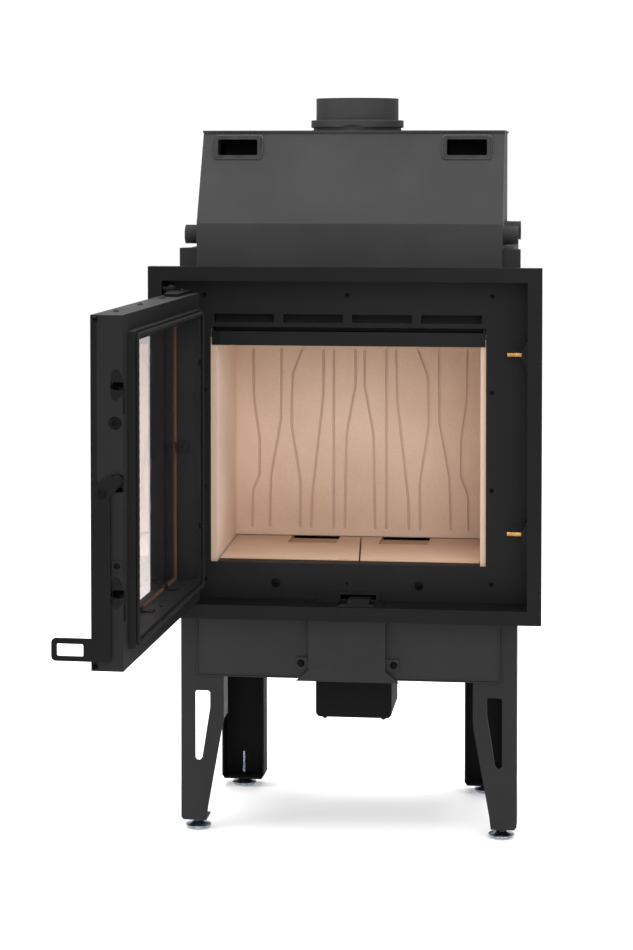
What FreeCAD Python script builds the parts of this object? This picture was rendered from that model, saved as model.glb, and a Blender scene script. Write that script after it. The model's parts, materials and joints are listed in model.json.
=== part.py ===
"""Built-in wood burning stove: welded firebox with a fireclay lining, a water-heating hood with a
round flue outlet, a side-hung glass door standing open, an air slide and four levelling legs.

Millimetres. X runs to the right across the front, Y from the front frame to the back, Z up.
The parts are built with X = 0 on the stove's centre line, Y = 0 on the face of the front frame and
Z = 0 on the floor. main() then moves them together, so that the origin is the middle of the whole
stove's box on the floor, with the door open at its rest angle."""

import FreeCAD, Part
import math
import os

V = FreeCAD.Vector

# ---------------------------------------------------------------- driving dimensions
THIN = 2.0                  # casing sheet
SHEET = 3.0                 # frame, skirt and leg sheet
PLATE = 4.0                 # firebox and hood plate
GAP = 0.5                   # gap between pieces that may move against each other

FRAME_HALF = 340.0          # front frame, half its outside width
FRAME_LOW = 384.5
FRAME_HIGH = 995.5
FRAME_BAND = 24.5           # width of the visible face of the frame
FRAME_RETURN = 20.0         # depth of the fold round its outside
RECESS = 72.0               # the front panel stands this far behind the frame's face
PANEL_BACK = RECESS + PLATE

OPENING_HALF = 242.0        # fire opening in the front panel
OPENING_LOW = 472.0
OPENING_HIGH = 887.0
VENT_HIGH = 14.8            # four slots that feed the glass wash air
VENT_MID = 902.5
VENT_EDGES = ((8.0, 113.0), (129.0, 235.0))

LEVER_SLOT = (-12.0, 51.0)  # slot of the air lever, along X
LEVER_SLOT_TOP = 419.0

BODY_HALF = 268.0           # firebox shell and hood
CASING_HALF = 300.0         # air casings on both sides: half width in front and behind
CASING_SLIM = 286.0
CASING_FRONT = 92.0
CASING_TOP = 1024.0
BODY_BACK = 430.0
SHELL_BACK = 400.0
BASE_TOP = 406.0
FIRE_FLOOR = 436.0

HOOD_FRONT = 86.0           # hood: upright part, then a slope up to the top plate
HOOD_BEND = 1068.0
HOOD_TOP = 1228.0
HOOD_SLOPE = 0.5            # run back per unit of height
HOOD_BACK = 345.0
INNER_GAP = 32.0            # water space round the inner smoke hood
INNER_BACK = 333.0
INNER_TOP = 1160.0

FLUE_Y = 247.0
FLUE_R = 74.5               # spigot for 150 mm pipe
NECK_R = 73.5               # the pipe below its collar
FLUE_BORE = 71.5
FLUE_TOP = 1290.3
COLLAR_R = 83.8
COLLAR_LOW = 1237.5
COLLAR_HIGH = 1251.0
RING_R = 79.5

SOCKET_X = 204.0            # rectangular carrying sockets let into the hood's slope
SOCKET_Z = 1202.0
SOCKET_SIZE = (83.0, 39.0)
SOCKET_BORE = (71.0, 28.0)
SOCKET_FRONT = 141.0
SOCKET_BACK = 241.0

NIPPLE_R = 16.85            # 1 inch pipe thread
NIPPLE_BORE = 13.5
NIPPLE_END = 295.0
NIPPLES = {"front": (130.0, 1047.5), "rear": (275.0, 1052.0)}

BRICK_FRONT = 80.0          # fireclay lining
BRICK_BACK = 360.0
BRICK_THICK = 32.0
BRICK_TOP = 900.0
SIDE_IN_FRONT = 231.0       # half width between the side bricks, front and back
SIDE_IN_BACK = 240.0
SIDE_OUT = 262.0
FLOOR_TOP = 474.0
FLOOR_FRONT = 108.0
FLOOR_JOINT = 3.0
JOINT_FRONT = 18.0
JOINT_BACK = -4.0
SCOOP_X = (-88.0, 81.0)
SCOOP_HALF = 45.0
GROOVE_MIDDLE = -6.0
GROOVE_WIDE = 4.5
GROOVE_DEEP = 4.5
# half of the back brick's groove pattern: (distance from its middle, z) along each groove
GROOVES = (
    ((8.5, 825.0), (8.5, 760.0), (25.5, 666.0), (28.5, 492.0)),
    ((49.5, 825.0), (49.5, 492.0)),
    ((68.5, 825.0), (69.5, 735.0), (90.5, 547.0), (92.0, 492.0)),
    ((109.3, 825.0), (127.5, 778.0), (129.5, 686.0), (112.0, 575.0), (113.0, 492.0)),
    ((148.0, 825.0), (149.0, 692.0), (168.0, 588.0), (170.5, 492.0)),
    ((201.5, 825.0), (200.5, 734.0), (189.5, 657.0), (189.5, 589.0), (202.5, 557.0), (203.5, 492.0)),
)

DOOR_HALF = 293.0           # door, built closed with its outer face at Y = 0
DOOR_LOW = 419.0
DOOR_HIGH = 950.5
DOOR_DEEP = 49.0
DOOR_LEAF = 10.0            # thickness of its front frame
GLASS_HALF = 244.0          # window
GLASS_LOW = 461.0
GLASS_HIGH = 910.0
GLASS_FRONT = 12.5
GLASS_THICK = 4.0
RIM_TUBE = 15.0             # width of the tube that carries the rope seal
RIM_DEEP = DOOR_DEEP + 11.5
DOOR_SET = 4.0              # the closed door's outer face stands this far behind the frame's face
HINGE_X = -299.0
HINGE_Y = 2.0
HINGE_T = HINGE_Y - DOOR_SET
DOOR_OPEN = 91.7            # degrees that the door stands open at rest
PIN_R = 5.0                 # hinge pins
PIN_CLEARANCE = 0.06

CATCH_Y = 41.0              # catch pins that the door locks on
CATCH_T = CATCH_Y - DOOR_SET
CATCH_Z = (845.0, 535.0)
CATCH_R = 4.5
LEVER_Y = 17.0              # pivot of the handle lever, in the closed door
LEVER_Z = 685.0
LEVER_LINK = (23.0, 20.0)   # drive pin from that pivot
LEVER_THICK = 4.0
LOOP_OUT = 60.0             # how far the grip stands out of the door
LOOP_LOW = 433.6
LOOP_HIGH = 468.0

SKIRT_FRONT = 74.0
SKIRT_LOW = 268.0
COVER_HALF = 68.0           # cover over the air duct
COVER_FRONT = 62.0
COVER_LOW = 286.0
FLARE_HALF = 91.0
FLARE_LOW = 264.0
BOX_HALF = 68.6             # box that takes outside air
BOX_FRONT = 184.0
BOX_BACK = 316.0
BOX_LOW = 175.0
INLET_R = 40.0
INLET_Z = 220.0
INLET_LONG = 45.0

LEG_OUT = 296.5             # legs
LEG_FRONT = 78.0
LEG_WIDE = 76.5
LEG_FOOT_WIDE = 45.0
LEG_TAPER = 192.0
LEG_LOW = 9.5
LEG_TOP = 402.0
LEG_DEEP = 46.0
LEG_REAR_X = 230.0
LEG_REAR_WIDE = 80.0
LEG_REAR_FRONT = 374.0
LEG_REAR_BACK = 420.0
FOOT_FRONT = (269.3, 98.0)
FOOT_REAR = (230.0, 394.0)
ROD_R = 4.0                 # M8 levelling rods
FOOT_LOW = -9.0             # underside of the feet
ROD_TOP = 64.0              # rod's top, from there
DISC_R = 23.5


# ---------------------------------------------------------------- basic shapes
def box(x0, x1, y0, y1, z0, z1):
    return Part.makeBox(x1 - x0, y1 - y0, z1 - z0, V(x0, y0, z0))


def rod(radius, start, end):
    """Cylinder between two points."""
    axis = end - start
    return Part.makeCylinder(radius, axis.Length, start, axis)


def pipe(outer, inner, start, end):
    return rod(outer, start, end).cut(rod(inner, start, end))


def prism(points, travel):
    """Flat outline through 3-D points, pushed along a vector."""
    return Part.Face(Part.makePolygon(points + [points[0]])).extrude(travel)


def outline_xz(points, y0, y1):
    return prism([V(x, y0, z) for x, z in points], V(0, y1 - y0, 0))


def outline_yz(points, x0, x1):
    return prism([V(x0, y, z) for y, z in points], V(x1 - x0, 0, 0))


def outline_xy(points, z0, z1):
    return prism([V(x, y, z0) for x, y in points], V(0, 0, z1 - z0))


def window(outer, inner, y0, y1):
    """Upright rectangular ring; outer and inner are (half width, low, high)."""
    ring = box(-outer[0], outer[0], y0, y1, outer[1], outer[2])
    return ring.cut(box(-inner[0], inner[0], y0, y1, inner[1], inner[2]))


def hexagon(across, start, length):
    """Upright hexagonal prism on the point start."""
    radius = across / math.sqrt(3.0)
    corners = [math.radians(60.0 * i) for i in range(6)]
    points = [V(start.x + radius * math.cos(a), start.y + radius * math.sin(a), start.z) for a in corners]
    return prism(points, V(0, 0, length))


def dome_screw(radius, height, seat, direction):
    """Domed screw head standing on the point seat, facing along direction."""
    sphere_r = (radius * radius + height * height) / (2.0 * height)
    half = math.asin(min(1.0, radius / sphere_r)) / 2.0
    middle = V(sphere_r * math.sin(half), 0, height - sphere_r * (1.0 - math.cos(half)))
    arc = Part.Arc(V(radius, 0, 0), middle, V(0, 0, height)).toShape()
    base = Part.makeLine(V(0, 0, 0), V(radius, 0, 0))
    axis = Part.makeLine(V(0, 0, height), V(0, 0, 0))
    head = Part.Face(Part.Wire([base, arc, axis])).revolve(V(0, 0, 0), V(0, 0, 1), 360)
    head.Placement = FreeCAD.Placement(seat, FreeCAD.Rotation(V(0, 0, 1), direction))
    return head


def round_edges(shape, radius, axis):
    """Rounds the straight edges that run along one axis (0, 1 or 2)."""
    chosen = []
    for edge in shape.Edges:
        if len(edge.Vertexes) != 2:
            continue
        run = edge.Vertexes[1].Point - edge.Vertexes[0].Point
        parts = [abs(run.x), abs(run.y), abs(run.z)]
        if parts[axis] > 0.999 * run.Length:
            chosen.append(edge)
    return shape.makeFillet(radius, chosen)


def mirrored(shape):
    return shape.mirror(V(0, 0, 0), V(1, 0, 0))


def group(shapes):
    return Part.makeCompound(shapes)


def cut_all(shape, tools):
    for tool in tools:
        shape = shape.cut(tool)
    return shape


# ---------------------------------------------------------------- front
def front_frame():
    """Face ring, fold round its outside, and the recess walls behind its inside edge."""
    inner = (FRAME_HALF - FRAME_BAND, FRAME_LOW + FRAME_BAND, FRAME_HIGH - FRAME_BAND)
    outer = (FRAME_HALF, FRAME_LOW, FRAME_HIGH)
    face = window(outer, inner, 0, SHEET)
    fold_in = (FRAME_HALF - SHEET, FRAME_LOW + SHEET, FRAME_HIGH - SHEET)
    fold = window(outer, fold_in, SHEET, FRAME_RETURN)
    wall_out = (inner[0] + SHEET, inner[1] - SHEET, inner[2] + SHEET)
    walls = window(wall_out, inner, SHEET, RECESS)
    frame = face.fuse(fold).fuse(walls)
    frame = frame.cut(box(LEVER_SLOT[0], LEVER_SLOT[1], 12, RECESS, inner[1] - SHEET, inner[1]))
    return frame.removeSplitter()


def panel_holes():
    """Centres (x, z) of the screws in the front panel and their head radii."""
    edge = [(side * 252.0, z, 4.0) for side in (-1, 1) for z in (943.0, 776.0, 605.5, 441.8)]
    return edge + [(0.0, 943.0, 4.0), (0.0, 438.0, 2.5), (-126.0, 437.0, 6.5), (126.0, 437.0, 6.5)]


def front_panel():
    half = FRAME_HALF - FRAME_BAND + SHEET
    low = FRAME_LOW + FRAME_BAND - SHEET
    high = FRAME_HIGH - FRAME_BAND + SHEET
    panel = box(-half, half, RECESS, PANEL_BACK, low, high)
    fire = box(-OPENING_HALF, OPENING_HALF, RECESS, PANEL_BACK, OPENING_LOW, OPENING_HIGH)
    panel = panel.cut(round_edges(fire, 1.5, 1))
    for near, far in VENT_EDGES:
        for side in (-1, 1):
            low_x, high_x = sorted((side * near, side * far))
            slot = box(low_x, high_x, RECESS, PANEL_BACK, VENT_MID - VENT_HIGH / 2, VENT_MID + VENT_HIGH / 2)
            panel = panel.cut(round_edges(slot, 2.0, 1))
    return panel.cut(box(LEVER_SLOT[0], LEVER_SLOT[1], RECESS, PANEL_BACK, BASE_TOP + 4, LEVER_SLOT_TOP))


def panel_screws():
    """Screws in the front panel, and four rivets on the ledge below it."""
    seat = FRAME_LOW + FRAME_BAND
    screws = [dome_screw(r, 0.42 * r, V(x, RECESS, z), V(0, -1, 0)) for x, z, r in panel_holes()]
    return group(screws + [dome_screw(2.2, 1.2, V(x, 44, seat), V(0, 0, 1)) for x in (-72, -66, 68, 78)])


def air_guide():
    """Air channel behind the vent slots, with the bent strip that turns the wash air down the glass."""
    low, high = 854.5, 879.0
    end = OPENING_HALF - 2.0
    flat = end - 15.0
    front, bent = 73.0, 76.5
    points = [(-end, bent), (-flat, front), (flat, front), (end, bent), (end, bent + 3), (flat, front + 3),
              (-flat, front + 3), (-end, bent + 3)]
    strip = outline_xy(points, low, high)
    shelf = box(-end, end, bent + 3, 106, high - SHEET, high)
    shelf = shelf.fuse(box(-flat, flat, front + 3, bent + 3, high - SHEET, high))
    back = box(-end, end, 103, 106, high, 934)
    lid = box(-end, end, PANEL_BACK, 106, 934 - SHEET, 934)
    cheeks = [box(x, x + SHEET, PANEL_BACK + 1, 106, high, 934) for x in (-end, end - SHEET)]
    for part in [shelf, back, lid] + cheeks:
        strip = strip.fuse(part)
    return strip.removeSplitter()


def sill():
    """Plate between the fire opening and the floor bricks, with a front fold behind the panel."""
    top = box(-SIDE_IN_FRONT, SIDE_IN_FRONT, PANEL_BACK, FLOOR_FRONT - GAP, OPENING_LOW - PLATE, OPENING_LOW)
    fold = box(-SIDE_IN_FRONT, SIDE_IN_FRONT, PANEL_BACK, PANEL_BACK + PLATE, FIRE_FLOOR, OPENING_LOW)
    return top.fuse(fold).removeSplitter()


def air_cover():
    """Angle plate round the lever's slot, on the panel and on the ledge in front of it."""
    seat = FRAME_LOW + FRAME_BAND
    upright = box(-53, 58, RECESS - SHEET, RECESS, seat, 424)
    flat = box(-53, 58, 48, RECESS - SHEET, seat, seat + 1.5)
    slot = box(LEVER_SLOT[0], LEVER_SLOT[1], 12, RECESS, seat, LEVER_SLOT_TOP)
    return upright.fuse(flat).cut(slot).removeSplitter()


# ---------------------------------------------------------------- firebox and casings
def shell_side_left():
    profile = [(PANEL_BACK, BASE_TOP), (SHELL_BACK, BASE_TOP), (SHELL_BACK, CASING_TOP - PLATE),
               (CASING_FRONT, CASING_TOP - PLATE), (CASING_FRONT, 974.0), (PANEL_BACK, 974.0)]
    return outline_yz(profile, -BODY_HALF, -BODY_HALF + PLATE)


def shell_back():
    half = BODY_HALF - PLATE
    return box(-half, half, SHELL_BACK - PLATE, SHELL_BACK, BASE_TOP, CASING_TOP - PLATE)


def shell_floor():
    half = BODY_HALF - PLATE
    floor = box(-half, half, PANEL_BACK, SHELL_BACK - PLATE, FIRE_FLOOR - PLATE, FIRE_FLOOR)
    for x in (-120.0, 0.0, 120.0):
        floor = floor.cut(rod(11.0, V(x, 94, FIRE_FLOOR - PLATE), V(x, 94, FIRE_FLOOR)))
    return floor


def base_plate():
    """Plate on top of the legs, with the hole that the air comes up through."""
    plate = box(-CASING_HALF + 3, CASING_HALF - 3, SKIRT_FRONT, BODY_BACK, BASE_TOP - PLATE, BASE_TOP)
    return plate.cut(box(-45, 45, 210, 290, BASE_TOP - PLATE, BASE_TOP))


def casing_plan(wall):
    """Left casing's outline, set in by a wall: wide in front, slimmer behind."""
    return [(-BODY_HALF, CASING_FRONT + wall), (-CASING_HALF + wall, CASING_FRONT + wall),
            (-CASING_HALF + wall, CASING_FRONT + 20), (-CASING_SLIM + wall, CASING_FRONT + 36),
            (-CASING_SLIM + wall, BODY_BACK - wall), (-BODY_HALF, BODY_BACK - wall)]


def casing_left():
    outer = outline_xy(casing_plan(0), BASE_TOP, CASING_TOP - PLATE)
    return outer.cut(outline_xy(casing_plan(THIN), BASE_TOP + THIN, CASING_TOP - PLATE))


def casing_back():
    return box(-BODY_HALF, BODY_HALF, BODY_BACK - THIN, BODY_BACK, BASE_TOP, CASING_TOP - PLATE)


def casing_top():
    """Top of the casings; the smoke passes up through its cut-out into the hood."""
    left = casing_plan(0)
    right = [(-x, y) for x, y in reversed(left)]
    top = outline_xy(left[1:-1] + right[1:-1], CASING_TOP - PLATE, CASING_TOP)
    return top.cut(box(-228, 228, 124, INNER_BACK - 7, CASING_TOP - PLATE, CASING_TOP))


def slope_y(z, start, bend):
    return start + HOOD_SLOPE * (z - bend)


def hood_front():
    """Bent plate: upright from behind the front panel, then leaning back to the top plate."""
    low = FRAME_HIGH - FRAME_BAND + SHEET + 2.0
    bend_in = HOOD_BEND - 1.0
    outer = [(HOOD_FRONT, low), (HOOD_FRONT, HOOD_BEND), (slope_y(HOOD_TOP, HOOD_FRONT, HOOD_BEND), HOOD_TOP)]
    inner_y = HOOD_FRONT + PLATE
    inner = [(slope_y(HOOD_TOP, inner_y, bend_in), HOOD_TOP), (inner_y, bend_in), (inner_y, low)]
    plate = outline_yz(outer + inner, -BODY_HALF, BODY_HALF)
    tongue = box(-BODY_HALF + PLATE, BODY_HALF - PLATE, HOOD_FRONT, inner_y, 938.0, low)
    return cut_all(plate.fuse(tongue), [socket_block(-1), socket_block(1)]).removeSplitter()


def socket_block(side, size=SOCKET_SIZE, back=SOCKET_BACK):
    wide, high = size
    front = SOCKET_FRONT
    x = side * SOCKET_X
    return box(x - wide / 2, x + wide / 2, front, back, SOCKET_Z - high / 2, SOCKET_Z + high / 2)


def carrying_socket(side):
    """Rectangular tube through the hood's slope, closed at its back."""
    block = round_edges(socket_block(side), 4.0, 1)
    bore = round_edges(socket_block(side, SOCKET_BORE, SOCKET_BACK - PLATE), 2.5, 1)
    return block.cut(bore)


def hood_side_left():
    inner_y = HOOD_FRONT + PLATE
    bend_in = HOOD_BEND - 1.0
    profile = [(inner_y, CASING_TOP), (inner_y, bend_in), (slope_y(HOOD_TOP, inner_y, bend_in), HOOD_TOP),
               (HOOD_BACK, HOOD_TOP), (HOOD_BACK, CASING_TOP)]
    side = outline_yz(profile, -BODY_HALF, -BODY_HALF + PLATE)
    for y, z in NIPPLES.values():
        side = side.cut(rod(NIPPLE_R, V(-BODY_HALF, y, z), V(-BODY_HALF + PLATE, y, z)))
    return side


def hood_back():
    half = BODY_HALF - PLATE
    return box(-half, half, HOOD_BACK - PLATE, HOOD_BACK, CASING_TOP, HOOD_TOP)


def hood_top():
    front = slope_y(HOOD_TOP, HOOD_FRONT, HOOD_BEND) - 2.0
    top = box(-BODY_HALF - 2, BODY_HALF + 2, front, HOOD_BACK + 2, HOOD_TOP, HOOD_TOP + PLATE)
    return top.cut(rod(NECK_R, V(0, FLUE_Y, HOOD_TOP), V(0, FLUE_Y, HOOD_TOP + PLATE)))


def inner_hood():
    """Smoke hood inside the water space, open at its foot."""
    front = HOOD_FRONT + INNER_GAP
    bend = HOOD_BEND - 7.0
    back = INNER_BACK
    half = BODY_HALF - INNER_GAP
    outer = [(front, CASING_TOP), (front, bend), (slope_y(INNER_TOP, front, bend), INNER_TOP),
             (back, INNER_TOP), (back, CASING_TOP)]
    top_in = INNER_TOP - PLATE
    front_in = front + PLATE
    inner = [(front_in, CASING_TOP), (front_in, bend - 1), (slope_y(top_in, front_in, bend - 1), top_in),
             (back - PLATE, top_in), (back - PLATE, CASING_TOP)]
    hood = outline_yz(outer, -half, half).cut(outline_yz(inner, -half + PLATE, half - PLATE))
    return hood.cut(rod(FLUE_BORE, V(0, FLUE_Y, top_in), V(0, FLUE_Y, INNER_TOP)))


def flue_point(z):
    return V(0, FLUE_Y, z)


def flue_pipe():
    """Smoke outlet, from the inner hood up to the spigot that takes the flue."""
    neck = pipe(NECK_R, FLUE_BORE, flue_point(INNER_TOP), flue_point(COLLAR_HIGH))
    return neck.fuse(pipe(FLUE_R, FLUE_BORE, flue_point(COLLAR_HIGH), flue_point(FLUE_TOP))).removeSplitter()


def flue_collar():
    """Ring on the top plate under a wider collar with a shallow arch at the front of its foot."""
    collar = rod(COLLAR_R, flue_point(COLLAR_LOW), flue_point(COLLAR_HIGH))
    rise, half_wide = 4.5, 22.5
    arch_r = (half_wide ** 2 + rise ** 2) / (2.0 * rise)
    arch_z = COLLAR_LOW + rise - arch_r
    arch = rod(arch_r, V(0, FLUE_Y - COLLAR_R - 1, arch_z), V(0, FLUE_Y - FLUE_R - 4, arch_z))
    rims = [e for e in collar.Edges if e.BoundBox.ZLength < 0.01]
    collar = collar.makeFillet(1.5, rims).cut(arch)
    ring = rod(RING_R, flue_point(HOOD_TOP + PLATE), flue_point(COLLAR_LOW))
    bore = rod(NECK_R, flue_point(HOOD_TOP), flue_point(COLLAR_HIGH))
    return collar.fuse(ring).cut(bore).removeSplitter()


def nipple(side, y, z):
    """Threaded pipe nipple through the hood's side."""
    start = V(side * (BODY_HALF - PLATE), y, z)
    end = V(side * NIPPLE_END, y, z)
    body = pipe(NIPPLE_R, NIPPLE_BORE, start, end)
    for i in range(8):
        x = NIPPLE_END - 3.0 - 2.3 * i
        cut = pipe(NIPPLE_R + 1, NIPPLE_R - 0.9, V(side * x, y, z), V(side * (x - 1.0), y, z))
        body = body.cut(cut)
    return body


# ---------------------------------------------------------------- fireclay lining
def side_brick_left():
    plan = [(-SIDE_OUT, BRICK_FRONT), (-SIDE_IN_FRONT - 1, BRICK_FRONT), (-SIDE_IN_BACK, BRICK_BACK),
            (-SIDE_OUT, BRICK_BACK)]
    brick = outline_xy(plan, FIRE_FLOOR, BRICK_TOP)
    return brick.cut(box(-SIDE_OUT, -SIDE_IN_FRONT, BRICK_FRONT, 107, 868, BRICK_TOP))


def groove_cut(start, end):
    """One straight stretch of a groove, with a round end, in the back brick's face."""
    (x0, z0), (x1, z1) = start, end
    length = math.hypot(x1 - x0, z1 - z0)
    across_x = -(z1 - z0) / length * GROOVE_WIDE / 2
    across_z = (x1 - x0) / length * GROOVE_WIDE / 2
    points = [(x0 + across_x, z0 + across_z), (x0 - across_x, z0 - across_z),
              (x1 - across_x, z1 - across_z), (x1 + across_x, z1 + across_z)]
    strip = outline_xz(points, BRICK_BACK, BRICK_BACK + GROOVE_DEEP)
    return strip.fuse(rod(GROOVE_WIDE / 2, V(x1, BRICK_BACK, z1), V(x1, BRICK_BACK + GROOVE_DEEP, z1)))


def back_brick():
    """Back wall with its pattern of long grooves, the same on both sides of the middle."""
    brick = box(-SIDE_OUT, SIDE_OUT, BRICK_BACK, BRICK_BACK + BRICK_THICK, FIRE_FLOOR, BRICK_TOP)
    cuts = []
    for line in GROOVES:
        for side in (-1, 1):
            path = [(GROOVE_MIDDLE + side * x, z) for x, z in line]
            cuts += [groove_cut(a, b) for a, b in zip(path, path[1:])]
    for x in SCOOP_X:
        cuts.append(box(x - SCOOP_HALF, x + SCOOP_HALF, BRICK_BACK, BRICK_BACK + BRICK_THICK, FIRE_FLOOR,
                        FLOOR_TOP - 1))
    cuts.append(box(-SIDE_IN_BACK, SIDE_IN_BACK, BRICK_BACK, BRICK_BACK + 8, FLOOR_TOP - 1, FLOOR_TOP + 1.6))
    return brick.cut(cuts)


def floor_brick(side):
    """Half of the fire floor, with a slightly slanted joint and a finger scoop at its back edge."""
    back_edge = BRICK_BACK - 1.0
    joint = side * FLOOR_JOINT / 2
    far_front, far_back = side * (SIDE_IN_FRONT - 1.5), side * (SIDE_IN_BACK - 2.0)
    plan = [(JOINT_FRONT + joint, FLOOR_FRONT), (far_front, FLOOR_FRONT), (far_back, back_edge),
            (JOINT_BACK + joint, back_edge)]
    brick = outline_xy(plan, FIRE_FLOOR + 0.5, FLOOR_TOP)
    scoop = [(back_edge - 76, FLOOR_TOP), (back_edge - 68, FLOOR_TOP - 3.5), (back_edge, FLOOR_TOP - 4.5),
             (back_edge, FLOOR_TOP)]
    middle = SCOOP_X[0] if side < 0 else SCOOP_X[1]
    return brick.cut(outline_yz(scoop, middle - SCOOP_HALF, middle + SCOOP_HALF))


def baffle_brick(y0, z0, y1, z1):
    """Sloping smoke baffle between the side walls."""
    length = math.hypot(y1 - y0, z1 - z0)
    off_y, off_z = -(z1 - z0) / length * 25.0, (y1 - y0) / length * 25.0
    profile = [(y0, z0), (y1, z1), (y1 + off_y, z1 + off_z), (y0 + off_y, z0 + off_z)]
    return outline_yz(profile, -SIDE_OUT, SIDE_OUT)


# ---------------------------------------------------------------- under the frame
def skirt():
    """Sheet between the legs, folded back along its foot."""
    top = LEG_TOP
    sheet = box(-BODY_HALF, BODY_HALF, SKIRT_FRONT, SKIRT_FRONT + SHEET, SKIRT_LOW, top)
    fold = box(-LEG_OUT + LEG_WIDE, LEG_OUT - LEG_WIDE, SKIRT_FRONT + SHEET, SKIRT_FRONT + 18, SKIRT_LOW,
               SKIRT_LOW + SHEET)
    return sheet.fuse(fold).removeSplitter()


def duct_cover():
    """Shallow cover over the air duct, flaring out at its foot."""
    upper = box(-COVER_HALF, COVER_HALF, COVER_FRONT, SKIRT_FRONT, COVER_LOW, LEG_TOP)
    upper = upper.cut(box(-COVER_HALF + 2, COVER_HALF - 2, COVER_FRONT + 2, SKIRT_FRONT, COVER_LOW, LEG_TOP - 2))
    wire_top = Part.makePolygon([V(-COVER_HALF, COVER_FRONT, COVER_LOW), V(COVER_HALF, COVER_FRONT, COVER_LOW),
                                 V(COVER_HALF, SKIRT_FRONT, COVER_LOW), V(-COVER_HALF, SKIRT_FRONT, COVER_LOW),
                                 V(-COVER_HALF, COVER_FRONT, COVER_LOW)])
    low_y = SKIRT_FRONT - 3.0
    wire_low = Part.makePolygon([V(-FLARE_HALF, low_y, FLARE_LOW), V(FLARE_HALF, low_y, FLARE_LOW),
                                 V(FLARE_HALF, SKIRT_FRONT, FLARE_LOW), V(-FLARE_HALF, SKIRT_FRONT, FLARE_LOW),
                                 V(-FLARE_HALF, low_y, FLARE_LOW)])
    flare = Part.makeLoft([wire_low, wire_top], True, True)
    ears = box(-FLARE_HALF, FLARE_HALF, SKIRT_FRONT - 3, SKIRT_FRONT, COVER_LOW - 2, COVER_LOW + 20)
    ears = ears.cut(box(-COVER_HALF, COVER_HALF, SKIRT_FRONT - 3, SKIRT_FRONT, COVER_LOW - 2, COVER_LOW + 20))
    return upper.fuse(flare).fuse(ears).removeSplitter()


def air_box():
    """Box under the stove with a round inlet for outside air, and its duct up to the base plate."""
    outer = box(-BOX_HALF, BOX_HALF, BOX_FRONT, BOX_BACK, BOX_LOW, SKIRT_LOW + 2)
    outer = round_edges(outer, 9.0, 1)
    outer = outer.fuse(box(-BOX_HALF, BOX_HALF, BOX_FRONT, BOX_BACK, SKIRT_LOW - 12, SKIRT_LOW + 2))
    duct = box(-55, 55, 200, 300, SKIRT_LOW + 2, BASE_TOP - PLATE)
    inner = box(-BOX_HALF + 2, BOX_HALF - 2, BOX_FRONT + 2, BOX_BACK - 2, BOX_LOW + 2, SKIRT_LOW)
    bore = box(-53, 53, 202, 298, SKIRT_LOW - 2, BASE_TOP - PLATE)
    hole = rod(INLET_R - 2, V(0, BOX_BACK - 2, INLET_Z), V(0, BOX_BACK, INLET_Z))
    spigot = pipe(INLET_R, INLET_R - 2, V(0, BOX_BACK, INLET_Z), V(0, BOX_BACK + INLET_LONG, INLET_Z))
    return cut_all(outer.fuse(duct), [inner, bore, hole]).fuse(spigot).removeSplitter()


def air_slide():
    """Plate that slides over the hole in the base plate, with slots that meet it."""
    low = BASE_TOP + GAP
    plate = box(-70, 70, 196, 304, low, low + SHEET)
    for x in (-18, 22):
        plate = plate.cut(box(x - 8, x + 8, 216, 284, low, low + SHEET))
    return plate.fuse(box(10, 36, 84, 196, low, low + SHEET)).removeSplitter()


def air_lever():
    """Tongue from the slide through the panel and down into the frame's ledge: the air control."""
    low = BASE_TOP + GAP + SHEET
    profile = [(110, low), (110, low + SHEET), (62, low + 6), (44, low + 6), (18, low - 8), (18, low - 11),
               (45, low + 3), (63, low + 3), (84, low)]
    tongue = outline_yz(profile, 4, 42)
    return tongue.fuse(box(4, 42, 16, 18, low - 16, low - 8)).removeSplitter()


# ---------------------------------------------------------------- legs and feet
def leg_front_left():
    """Channel with its web to the front: tapering foot, long slot, flanges back along both edges."""
    out, inn = -LEG_OUT, -LEG_OUT + LEG_WIDE
    toe = -LEG_OUT + LEG_FOOT_WIDE
    web = [(out, LEG_TOP), (inn, LEG_TOP), (inn, LEG_TAPER), (toe + 3, 34), (toe, LEG_LOW), (out + 4, LEG_LOW),
           (out, LEG_LOW + 5)]
    plate = outline_xz(web, LEG_FRONT, LEG_FRONT + SHEET)
    slot = [(out + 25.5, 238), (out + 28, 241), (out + 49, 241), (out + 52, 238), (out + 52, 212),
            (out + 38, 122), (out + 34, 117), (out + 29, 117), (out + 25.5, 121)]
    plate = plate.cut(outline_xz(slot, LEG_FRONT, LEG_FRONT + SHEET))
    back = LEG_FRONT + LEG_DEEP
    side = box(out, out + SHEET, LEG_FRONT + SHEET, back, LEG_LOW + 5, LEG_TOP)
    inner = box(inn - SHEET, inn, LEG_FRONT + SHEET, back, LEG_TAPER, LEG_TOP)
    foot = box(out + SHEET, toe, LEG_FRONT + SHEET, back, LEG_LOW, LEG_LOW + SHEET)
    head = box(out + SHEET, inn - SHEET, LEG_FRONT + SHEET, back, LEG_TOP - SHEET, LEG_TOP)
    x, y = FOOT_FRONT
    leg = plate.fuse(side).fuse(inner).fuse(foot).fuse(head)
    return leg.cut(rod(ROD_R + 0.6, V(-x, y, LEG_LOW), V(-x, y, LEG_LOW + SHEET))).removeSplitter()


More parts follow.
